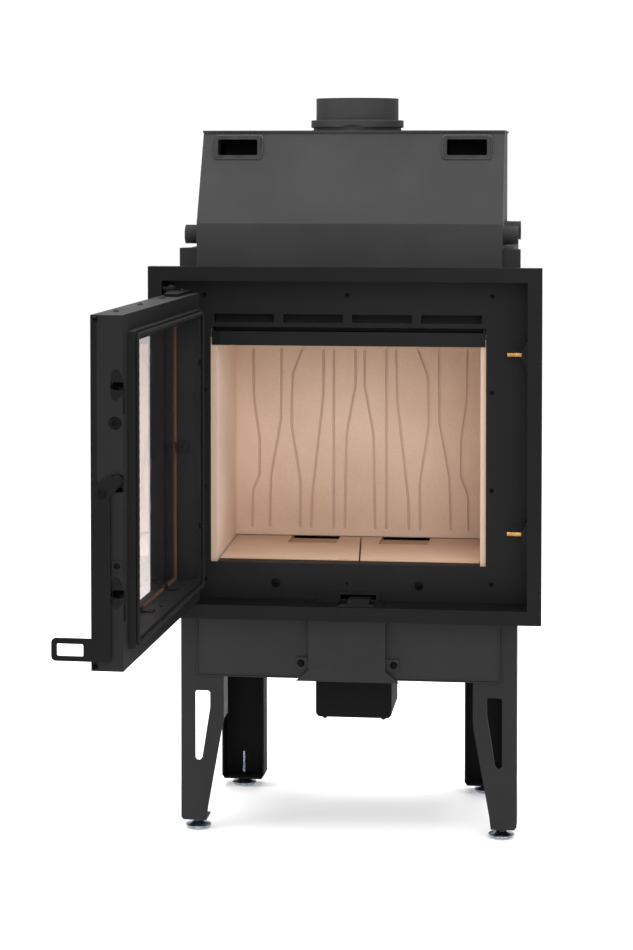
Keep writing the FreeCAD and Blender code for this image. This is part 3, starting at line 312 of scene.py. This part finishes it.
PAINT = stove_paint("stove_paint", srgb(19, 19, 20), srgb(26, 26, 27))
PAINT_FRAME = stove_paint("frame_paint", srgb(13, 13, 14), srgb(19, 19, 20), rough=(0.4, 0.52))
PAINT_LEVER = stove_paint("lever_paint", srgb(10, 10, 11), srgb(16, 16, 17), rough=(0.4, 0.52))
# Painted light: a lighter copy of the stove paint on the hood, flue and nipples, for the light their sloping
# and upper faces take.
PAINT_HOOD_LIT = stove_paint("hood_paint_lit", srgb(39, 39, 40), srgb(50, 50, 51), rough=(0.5, 0.64), grain=0.2)
# Painted light: a lighter copy of the stove paint on the front legs, for the sheen they catch.
PAINT_LEG_LIT = stove_paint("leg_paint_lit", srgb(31, 31, 32), srgb(39, 39, 40))
# Painted light: the door box gets a lighter copy of the stove paint, for the light it catches.
PAINT_DOOR_LIT = stove_paint("door_paint_lit", srgb(22, 22, 23), srgb(29, 29, 30))
# Painted light: a lighter copy of the stove paint on the skirt and duct cover, for the sheen they catch.
PAINT_SKIRT_LIT = stove_paint("skirt_paint_lit", srgb(33, 33, 34), srgb(42, 42, 43))
# Painted shade: a darker copy of the stove paint for the air box and rear legs, under and behind the stove.
PAINT_UNDER_SHADED = stove_paint("under_paint_shaded", srgb(14, 14, 15), srgb(20, 20, 21), rough=(0.55, 0.7),
                          shine=0.04)
# Painted shade: a near-black copy of the stove paint for the shell, air slide and inner smoke hood inside the
# stove.
PAINT_INSIDE_SHADED = stove_paint("inside_paint_shaded", srgb(8, 8, 9), srgb(13, 13, 14), rough=(0.55, 0.7), shine=0.04)
side_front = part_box("side_brick_left")[0][1]
# The tint darkens the side bricks' front ends.
BRICK = fireclay("fireclay", srgb(230, 208, 191), srgb(219, 193, 175), srgb(164, 134, 112),
                 (1, side_front + 0.0022, side_front + 0.0004, 0.75, srgb(160, 132, 112)))
back_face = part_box("back_brick")[0][1]
BRICK_BACK = fireclay("fireclay_grooved", srgb(212, 186, 166), srgb(199, 170, 149), srgb(150, 120, 98),
                      (1, back_face + 0.0003, back_face + 0.0022, 1.0, srgb(200, 171, 151)))
floor_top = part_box("floor_brick_left")[1][2]
# Painted shade: the tint below the floor's top darkens the scoops, the joint and the front edge.
BRICK_FLOOR = fireclay("fireclay_floor", srgb(205, 176, 154), srgb(192, 160, 138), srgb(140, 110, 88),
                       (2, floor_top - 0.0003, floor_top - 0.0024, 0.8, srgb(160, 127, 104)))
ZINC = plated("zinc", srgb(92, 100, 114), srgb(160, 168, 182))
BLACK_SCREW = stove_paint("black_screw", srgb(3, 3, 4), srgb(8, 8, 9), rough=(0.4, 0.5), shine=0.05)
CASING = stove_paint("casing_paint", srgb(30, 30, 31), srgb(38, 38, 39), rough=(0.5, 0.65))
BRASS = turned_brass("brass")
ROPE = knit("seal_rope", srgb(8, 8, 8), srgb(30, 29, 28))
TAPE = knit("gasket_tape", srgb(56, 41, 33), srgb(92, 69, 56), 420.0)
GLASS = clear_glass("fire_glass")
VERM = vermiculite("vermiculite")
# Painted light: the weld beads get a lighter copy of the stove paint, for the lit ring round the sockets and
# along the edges.
WELD_LIT = stove_paint("weld_paint_lit", srgb(30, 30, 31), srgb(44, 44, 45), rough=(0.4, 0.55), grain=0.3,
                   shine=0.2)
PAD = pad_plastic("foot_pad")
SOCKET = socket_paint_shaded("socket_paint_shaded")

LOOK = {
    PAINT: ["front_panel", "air_cover", "air_guide", "door_rim", "frame_hinges", "catch_brackets",
            "air_lever", "sill_plate", "base_plate", "glass_clips", "hood_side_left", "hood_side_right"],
    PAINT_FRAME: ["front_frame"],
    PAINT_LEVER: ["door_leaf", "handle_lever", "latch_bar", "hinge_straps"],
    PAINT_UNDER_SHADED: ["air_box", "leg_rear_left", "leg_rear_right"],
    PAINT_LEG_LIT: ["leg_front_left", "leg_front_right"],
    PAINT_DOOR_LIT: ["door_box"],
    PAINT_SKIRT_LIT: ["skirt_panel", "duct_cover"],
    PAINT_HOOD_LIT: ["hood_front", "hood_back", "hood_top", "flue_pipe", "flue_collar", "pipe_nipples"],
    PAINT_INSIDE_SHADED: ["air_slide", "shell_floor", "shell_back", "shell_side_left", "shell_side_right",
                 "inner_smoke_hood"],
    SOCKET: ["carrying_sockets"],
    CASING: ["casing_side_left", "casing_side_right", "casing_back", "casing_top"],
    BRICK: ["side_brick_left", "side_brick_right"],
    BRICK_BACK: ["back_brick"],
    BRICK_FLOOR: ["floor_brick_left", "floor_brick_right"],
    VERM: ["baffle_bricks"],
    GLASS: ["door_glass"],
    ROPE: ["rope_seal"],
    TAPE: ["glass_gaskets"],
    BRASS: ["catch_pins"],
    ZINC: ["foot_front_left", "foot_front_right", "foot_rear_left", "foot_rear_right"],
    BLACK_SCREW: ["panel_screws", "door_screws", "lever_pivot", "under_fixings"],
}
for material, names in LOOK.items():
    for name in names:
        mesh = nodes[name].data
        mesh.materials.clear()
        mesh.materials.append(material)


# ------------------------------------------------------------------ softened edges on the CAD pieces
def soften(name, width):
    """A small bevel on a CAD node's corners, width in millimetres."""
    bevel = nodes[name].modifiers.new("soft_edges", "BEVEL")
    bevel.width = width / 1000
    bevel.segments = 2
    bevel.limit_method = "ANGLE"
    bevel.angle_limit = math.radians(40.0)


SOFT = {
    0.6: ["front_frame", "door_leaf", "handle_lever", "latch_bar", "hinge_straps", "skirt_panel",
          "leg_front_left", "leg_front_right", "leg_rear_left", "leg_rear_right", "duct_cover", "air_box",
          "hood_top", "flue_pipe"],
    1.6: ["floor_brick_left", "floor_brick_right", "side_brick_left", "side_brick_right"],
}
for width, names in SOFT.items():
    for name in names:
        soften(name, width)


# ------------------------------------------------------------------ building blocks
def add_piece(name, bm, material, body, replaces=(), angle=35.0):
    """Turns a bmesh into a piece that rides on a body."""
    bmesh.ops.remove_doubles(bm, verts=bm.verts, dist=1e-7)
    bmesh.ops.recalc_face_normals(bm, faces=bm.faces)
    mesh = bpy.data.meshes.new(name)
    bm.to_mesh(mesh)
    bm.free()
    mesh.materials.append(material)
    mesh.shade_smooth()
    mesh.set_sharp_from_angle(angle=math.radians(angle))
    ob = bpy.data.objects.new(name, mesh)
    bpy.context.scene.collection.objects.link(ob)
    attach(ob, body)
    if replaces:
        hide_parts(*replaces)


def islands(node):
    """(low, high) corners of every separate solid in a CAD node."""
    mesh = nodes[node].data
    world = nodes[node].matrix_world
    parent = list(range(len(mesh.vertices)))

    def root(i):
        while parent[i] != i:
            parent[i] = parent[parent[i]]
            i = parent[i]
        return i

    seen = {}
    for v in mesh.vertices:
        key = tuple(round(c, 5) for c in v.co)
        if key in seen:
            parent[root(v.index)] = root(seen[key])
        seen[key] = v.index
    for e in mesh.edges:
        parent[root(e.vertices[0])] = root(e.vertices[1])
    groups = {}
    for v in mesh.vertices:
        p = world @ v.co
        lo, hi = groups.setdefault(root(v.index), (p.copy(), p.copy()))
        for k in range(3):
            lo[k] = min(lo[k], p[k])
            hi[k] = max(hi[k], p[k])
    return sorted(groups.values(), key=lambda g: tuple(round(c, 4) for c in g[0]))


def frame_on(direction):
    """Rotation that turns +Z to a direction."""
    return direction.normalized().to_track_quat("Z", "Y").to_matrix()


def rings_to_faces(bm, rings):
    """Skin between rings of points that follow each other."""
    for a, b in zip(rings, rings[1:]):
        for i in range(len(a)):
            j = (i + 1) % len(a)
            bm.faces.new((a[i], a[j], b[j], b[i]))


def cap(bm, rings):
    """Flat faces on the first and the last ring."""
    bm.faces.new(rings[0])
    bm.faces.new(rings[-1])


def circle(steps):
    """The angles of a full turn."""
    return [2 * math.pi * i / steps for i in range(steps)]


def lathe(bm, profile, seat, direction, steps):
    """Solid of revolution: profile is (radius, height) in millimetres along a direction."""
    turn = frame_on(direction)
    rings = [[bm.verts.new(seat + turn @ Vector((r * math.cos(a), r * math.sin(a), h)) / 1000)
              for a in circle(steps)] for r, h in profile]
    rings_to_faces(bm, rings)
    cap(bm, rings)


def socket_screw(bm, seat, direction, radius, height):
    """Button-head screw with a hexagon socket, its sizes in millimetres."""
    turn = frame_on(direction)
    across = radius * 0.42

    def ring(fn, h):
        return [bm.verts.new(seat + turn @ Vector((fn(a) * math.cos(a), fn(a) * math.sin(a), h)) / 1000)
                for a in circle(30)]

    def hexagon(a):
        return across / math.cos((a % (math.pi / 3)) - math.pi / 6)

    dome = (radius * radius + height * height) / (2 * height)
    rings = [ring(lambda a: radius, 0.0), ring(lambda a: radius, height * 0.12)]
    for f in (0.9, 0.76, 0.62):
        r = radius * f
        rings.append(ring(lambda a, r=r: r, math.sqrt(max(dome * dome - r * r, 0.0)) - (dome - height)))
    rings.append(ring(lambda a: hexagon(a) * 1.08, height * 0.96))
    rings.append(ring(hexagon, height * 0.9))
    rings.append(ring(hexagon, height * 0.35))
    rings_to_faces(bm, rings)
    cap(bm, rings)


def ripple(s, seed):
    """Repeatable uneven swell along a weld."""
    return (0.5 + 0.5 * math.sin(s * 2.1 + seed)) * 0.16 + 0.07 * math.sin(s * 0.53 + 2.3 * seed)


def bead(bm, path, normal, radius, closed=True, seed=0.0):
    """Weld bead along a path, radius in millimetres, with its ripples."""
    step = 1.1
    points = []
    ends = path + [path[0]] if closed else path
    for a, b in zip(ends, ends[1:]):
        n = max(1, int((b - a).length * 1000 / step))
        points += [a.lerp(b, i / n) for i in range(n)]
    if not closed:
        points.append(ends[-1])
    rings = []
    count = len(points)
    for k, p in enumerate(points):
        q = points[(k + 1) % count] if closed else points[min(k + 1, count - 1)]
        o = points[k - 1] if closed or k else points[0]
        along = (q - o).normalized()
        side = along.cross(normal).normalized()
        r = radius * (1.0 + ripple(k * step, seed)) / 1000
        rings.append([bm.verts.new(p + (side * math.cos(a) + normal * (math.sin(a) * 0.8)) * r)
                      for a in circle(8)])
    if closed:
        rings.append(rings[0])
    rings_to_faces(bm, rings)
    if not closed:
        cap(bm, rings)


def rounded_loop(half_a, half_b, radius, steps=6):
    """Rounded rectangle as (a, b) pairs."""
    out = []
    for quarter, (sa, sb) in enumerate(((1, 1), (-1, 1), (-1, -1), (1, -1))):
        for i in range(steps + 1):
            turn = math.pi / 2 * (quarter + i / steps)
            out.append((sa * (half_a - radius) + radius * math.cos(turn),
                        sb * (half_b - radius) + radius * math.sin(turn)))
    return out


# ------------------------------------------------------------------ weld beads on the hood
hood_lo, hood_hi = span("hood_front")
hood_top_y = min(v.co.y for v in nodes["hood_front"].data.vertices if v.co.z > hood_hi.z - 1e-4)
hood_bend_z = hood_hi.z - (hood_top_y - hood_lo.y) / HOOD_LEAN


def hood_face_y(z):
    """Front of the hood at a height: upright to the bend, then leaning back."""
    return hood_lo.y + max(0.0, HOOD_LEAN * (z - hood_bend_z))


def socket_welds(bm):
    slope = Vector((0.0, -1.0, HOOD_LEAN)).normalized()
    for lo, hi in islands("carrying_sockets"):
        cx, cz = (lo.x + hi.x) / 2, (lo.z + hi.z) / 2
        half_a, half_b = (hi.x - lo.x) * 500 + 0.6, (hi.z - lo.z) * 500 + 0.6
        loop = []
        for a, b in rounded_loop(half_a, half_b, 5.0):
            z = cz + b / 1000
            loop.append(Vector((cx + a / 1000, hood_face_y(z), z)))
        bead(bm, loop, slope, 2.6, seed=cx * 50)


def pipe_welds(bm):
    for lo, hi in islands("pipe_nipples"):
        side = 1.0 if (lo.x + hi.x) / 2 > MID_X else -1.0
        wall = hood_hi.x if side > 0 else hood_lo.x
        r = (hi.z - lo.z) / 2
        centre = Vector((wall, (lo.y + hi.y) / 2, (lo.z + hi.z) / 2))
        loop = [centre + Vector((0, r * math.cos(a), r * math.sin(a))) for a in circle(40)]
        bead(bm, loop, Vector((side, 0, 0)), 2.4, seed=lo.y * 40)


def flue_weld(bm):
    lo, hi = span("flue_pipe")
    r = 0.0797                               # along the foot of the ring under the collar
    centre = Vector(((lo.x + hi.x) / 2, (lo.y + hi.y) / 2, span("hood_top")[1].z))
    loop = [centre + Vector((r * math.cos(a), r * math.sin(a), 0)) for a in circle(90)]
    bead(bm, loop, Vector((0, 0, 1)), 1.6, seed=1.3)


def corner_welds(bm):
    for x, out in ((hood_lo.x, -1.0), (hood_hi.x, 1.0)):
        path = [Vector((x, hood_top_y + 0.002, hood_hi.z)), Vector((x, hood_lo.y + 0.002, hood_bend_z)),
                Vector((x, hood_lo.y + 0.002, hood_lo.z + 0.05))]
        bead(bm, path, Vector((out, 0, 0)), 1.3, closed=False, seed=out)


def hood_welds():
    bm = bmesh.new()
    for welds in (socket_welds, pipe_welds, flue_weld, corner_welds):
        welds(bm)
    add_piece("hood_weld_beads", bm, WELD_LIT, "stove")


# ------------------------------------------------------------------ seal rope
ROPE_HALF_X = 256.0                          # half the rope's width across the door, in millimetres
ROPE_CORE = 3.6                              # from the rope's outer edge to its middle
ROPE_SEAT = 62.9                             # depth of its middle behind the door's face
ROPE_CORNER = 9.0
ROPE_LAY = 9.0                               # steps along the rope for one turn of its strands


def spread(loop, step):
    """Points at about equal steps along a closed loop."""
    points = []
    for (a, b), (c, d) in zip(loop, loop[1:] + loop[:1]):
        n = max(1, int(math.hypot(c - a, d - b) / step))
        points += [(a + (c - a) * k / n, b + (d - b) * k / n) for k in range(n)]
    return points


def seal_rope():
    """Knitted rope pressed into the rim's seat: its strands wind round it."""
    lo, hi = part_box("rope_seal")
    middle_z = ((lo[2] + hi[2]) / 2 - LIFT) * 1000
    half_z = (hi[2] - lo[2]) * 500
    points = spread(rounded_loop(ROPE_HALF_X - ROPE_CORE, half_z - ROPE_CORE, ROPE_CORNER, 8), 1.6)
    total = len(points)
    turns = round(total / ROPE_LAY)
    bm = bmesh.new()
    rings = []
    for k, (a, b) in enumerate(points):
        c, d = points[(k + 1) % total]
        e, f = points[k - 1]
        length = math.hypot(c - e, d - f)
        nx, nz = (d - f) / length, -(c - e) / length
        twist = 2 * math.pi * k * turns / total
        ring = []
        for ang in circle(18):
            r = 2.6 + 0.18 * math.cos(5 * ang + twist) + 0.13 * math.cos(5 * ang - twist)
            out = (r + 0.8) * math.cos(ang)
            place = door(a + nx * out, ROPE_SEAT + r * math.sin(ang), middle_z + b + nz * out)
            ring.append(bm.verts.new(place))
        rings.append(ring)
    rings.append(rings[0])
    rings_to_faces(bm, rings)
    add_piece("door_seal_rope", bm, ROPE, "door", replaces=["rope_seal"], angle=80.0)


# ------------------------------------------------------------------ screws
UP = Vector((0, 0, 1))
FORWARD = Vector((0, -1, 0))


def panel_screw_heads():
    """The panel's small screws, its two washered bolts, and the studs that stand on level faces."""
    bm = bmesh.new()
    for lo, hi in islands("panel_screws"):
        size = (hi - lo) * 1000
        centre = (lo + hi) / 2
        radius = size.x / 2
        if size.z < size.x * 0.7 and size.y > size.z:
            seat = Vector((centre.x, centre.y, lo.z))
            lathe(bm, [(radius, 0.0), (radius * 0.9, size.z * 0.55), (radius / 2, size.z)], seat, UP, 18)
            continue
        seat = Vector((centre.x, hi.y, centre.z))
        if radius > 6.0:
            washer = [(radius + 1.6, 0.0), (radius + 1.6, 0.7), (radius + 1.3, 0.9), (radius * 0.6, 0.9)]
            lathe(bm, washer, seat, FORWARD, 36)
            socket_screw(bm, seat + FORWARD * 0.0009, FORWARD, radius - 1.4, size.y - 0.9)
        else:
            socket_screw(bm, seat, FORWARD, radius, size.y)
    add_piece("panel_screw_heads", bm, BLACK_SCREW, "stove", replaces=["panel_screws"])


def door_screw_heads():
    """Screws on the door's top, its foot and its lock edge."""
    bm = bmesh.new()
    lock_edge = TURN @ Vector((1, 0, 0))
    top_z = span("door_box")[1].z
    face_middle_z = (lo_frame.z + hi_frame.z) / 2
    for lo, hi in islands("door_screws"):
        size = (hi - lo) * 1000
        centre = (lo + hi) / 2
        if size.z < min(size.x, size.y) * 0.8:
            up = centre.z > top_z - 0.002 or centre.z < face_middle_z
            seat = Vector((centre.x, centre.y, lo.z if up else hi.z))
            socket_screw(bm, seat, UP if up else -UP, size.x / 2, size.z)
        else:
            seat = centre - lock_edge * (size.y / 2000)
            socket_screw(bm, seat, lock_edge, size.z / 2, size.y * 0.98)
    add_piece("door_screw_heads", bm, BLACK_SCREW, "door", replaces=["door_screws"])


# ------------------------------------------------------------------ levelling feet
FOOT_CUP = [(8.0, 3.05), (19.5, 3.05), (21.4, 3.8), (22.4, 5.4), (22.6, 7.0), (22.0, 7.5), (20.4, 7.6),
            (17.0, 8.2), (12.5, 9.6), (9.6, 11.4), (8.2, 12.4), (6.4, 12.7), (4.0, 12.8)]
FOOT_PAD = [(16.4, 0.0), (17.6, 0.25), (18.6, 1.4), (20.3, 2.5), (20.6, 3.05), (12.0, 3.05)]
THREAD_PITCH = 1.25
THREAD_ROOT, THREAD_DEEP = 3.35, 0.63


def thread(bm, base, low, top):
    """M8 thread from a height to its chamfered top, in millimetres."""
    steps = 24
    rows = int((top - low) / 0.25)
    rings = []
    for k in range(rows + 1):
        h = low + (top - low) * k / rows
        fade = min(1.0, (top - h) / 1.2)
        ring = []
        for i, a in enumerate(circle(steps)):
            phase = (h / THREAD_PITCH - i / steps) % 1.0
            r = THREAD_ROOT + THREAD_DEEP * (1.0 - abs(2 * phase - 1.0)) * fade
            ring.append(bm.verts.new(base + Vector((r * math.cos(a), r * math.sin(a), h)) / 1000))
        rings.append(ring)
    rings_to_faces(bm, rings)
    cap(bm, rings)


def levelling_foot(node, body):
    """Zinc cup and threaded rod, and the plastic pad under the cup."""
    lo, hi = span(node)
    base = Vector(((lo.x + hi.x) / 2, (lo.y + hi.y) / 2, 0.0))
    bm = bmesh.new()
    lathe(bm, FOOT_CUP, base, UP, 48)
    thread(bm, base, FOOT_CUP[-1][1], (hi.z - lo.z) * 1000)
    add_piece(node + "_zinc", bm, ZINC, body, replaces=[node], angle=50.0)
    bm = bmesh.new()
    lathe(bm, FOOT_PAD, base, UP, 40)
    add_piece(node + "_pad", bm, PAD, body)


# ------------------------------------------------------------------ folded edges of the skirt
FOLD_WIDE, FOLD_HIGH = 2.6, 2.0              # in millimetres
FOLD_SECTION = [(-0.5, 0.0), (-0.46, 0.55), (-0.3, 0.9), (0.0, 1.0), (0.3, 0.9), (0.46, 0.55), (0.5, 0.0)]


def fold(bm, a, b):
    """Rounded strip from a to b that stands out of the skirt's face."""
    side = (b - a).normalized().cross(FORWARD).normalized() * (FOLD_WIDE / 1000)
    out = FORWARD * (FOLD_HIGH / 1000)
    rings = [[bm.verts.new(p + side * u + out * v) for u, v in FOLD_SECTION] for p in (a, b)]
    rings_to_faces(bm, rings)
    cap(bm, rings)


def skirt_edges():
    lo, hi = span("skirt_panel")
    flare_lo, flare_hi = span("duct_cover")
    inset = 0.0016
    x0, x1, low = lo.x + inset, hi.x - inset, lo.z + inset
    bm = bmesh.new()
    for x in (x0, x1):
        fold(bm, Vector((x, lo.y, low)), Vector((x, lo.y, lo_frame.z)))
    for a, b in ((x0, flare_lo.x), (flare_hi.x, x1)):
        fold(bm, Vector((a, lo.y, low)), Vector((b, lo.y, low)))
    add_piece("skirt_edge_folds", bm, PAINT_SKIRT_LIT, "stove")


# ------------------------------------------------------------------ catch guides on the lock edge
CATCH_HEIGHTS = (845.0, 535.0)
CATCH_T = 37.0                               # the pin slot's round end, behind the door's face
CATCH_R = 6.4


def catch_guides():
    """Pressed guide round the mouth of each pin slot."""
    mouth = [(CATCH_T - CATCH_R * math.sin(a), -CATCH_R * math.cos(a))
             for a in (math.pi * i / 12 for i in range(13))]
    outline = [(46.0, -15.0), (48.4, -12.0), (48.4, -CATCH_R)] + mouth
    outline += [(48.4, CATCH_R), (48.4, 12.0), (46.0, 15.0), (42.5, 23.0), (37.0, 24.5), (32.5, 20.0)]
    outline += [(31.6, 8.0), (31.6, -16.0), (34.5, -21.0), (40.0, -21.5)]
    bm = bmesh.new()
    for z in CATCH_HEIGHTS:
        rings = []
        for x, inset in ((293.05, 0.0), (293.9, 0.0), (294.3, 0.35)):
            shrink = [(t + inset * (0.5 if t < 40 else -0.5), dz * (1 - 0.02 * inset)) for t, dz in outline]
            rings.append([bm.verts.new(door(x, t, z + dz)) for t, dz in shrink])
        rings_to_faces(bm, rings)
        cap(bm, rings)
    add_piece("catch_guides", bm, PAINT_LEVER, "door", angle=25.0)


hood_welds()
skirt_edges()
catch_guides()
seal_rope()
panel_screw_heads()
door_screw_heads()
for end in ("front", "rear"):
    for side in ("left", "right"):
        levelling_foot("foot_%s_%s" % (end, side), "%s_%s_foot" % (end, side))


# ------------------------------------------------------------------ camera
def set_camera():
    """In front of the stove, a little to its right, looking slightly down, with the picture shifted down."""
    data = bpy.data.cameras.new("camera")
    data.sensor_fit = "AUTO"
    data.sensor_width = 36.0
    data.lens = 89.5176
    data.shift_x, data.shift_y = 0.0055316, -0.25
    data.clip_start, data.clip_end = 0.05, 60.0
    cam = bpy.data.objects.new("camera", data)
    bpy.context.scene.collection.objects.link(cam)
    yaw, pitch = 0.11904, 0.03367
    cam.location = at(426.14, -4021.83, 1183.06)
    forward = Vector((-math.sin(yaw) * math.cos(pitch), math.cos(yaw) * math.cos(pitch), -math.sin(pitch)))
    cam.rotation_euler = forward.to_track_quat("-Z", "Y").to_euler()
    bpy.context.scene.camera = cam


set_camera()


# ------------------------------------------------------------------ floor and light
def backdrop():
    """Wide pale floor, open on every side, that the white surroundings run into."""
    bm = bmesh.new()
    rings = [[bm.verts.new((r * math.cos(a), r * math.sin(a), 0.0)) for a in circle(64)] for r in (3.0, 40.0)]
    rings_to_faces(bm, rings)
    bm.faces.new(rings[0])
    bmesh.ops.recalc_face_normals(bm, faces=bm.faces)
    mesh = bpy.data.meshes.new("studio_floor")
    bm.to_mesh(mesh)
    bm.free()
    ob = bpy.data.objects.new("studio_floor", mesh)
    bpy.context.scene.collection.objects.link(ob)
    m = Mat("studio_white", rough=0.6, Specular_IOR_Level=0.2)
    tone = m.noise(0.8, 2.0, 0.5)
    m.colour(m.ramp(tone, [(0.3, srgb(250, 250, 250)), (0.7, srgb(253, 253, 253))]))
    mesh.materials.append(m.m)


def area(name, size, energy, place, target):
    """Rectangular soft box that shines on a target."""
    data = bpy.data.lights.new(name, "AREA")
    data.shape = "RECTANGLE"
    data.size, data.size_y = size
    data.energy = energy
    ob = bpy.data.objects.new(name, data)
    ob.location = place
    ob.rotation_euler = (target - place).to_track_quat("-Z", "Y").to_euler()
    bpy.context.scene.collection.objects.link(ob)


backdrop()
world = bpy.data.worlds.new("studio")
bpy.context.scene.world = world
world.use_nodes = True
sky = world.node_tree.nodes["Background"]
sky.inputs["Color"].default_value = (1.0, 1.0, 1.0, 1.0)
sky.inputs["Strength"].default_value = 1.05
area("top_box", (3.2, 3.2), 210.0, at(0, 0, 3600), at(0, 100, 600))
area("front_box", (2.6, 2.2), 85.0, at(900, -4300, 2300), at(0, 200, 650))
area("left_box", (1.6, 2.4), 40.0, at(-3200, -1200, 1500), at(0, 0, 700))
bpy.context.scene.view_settings.view_transform = "Standard"
bpy.context.scene.view_settings.look = "None"
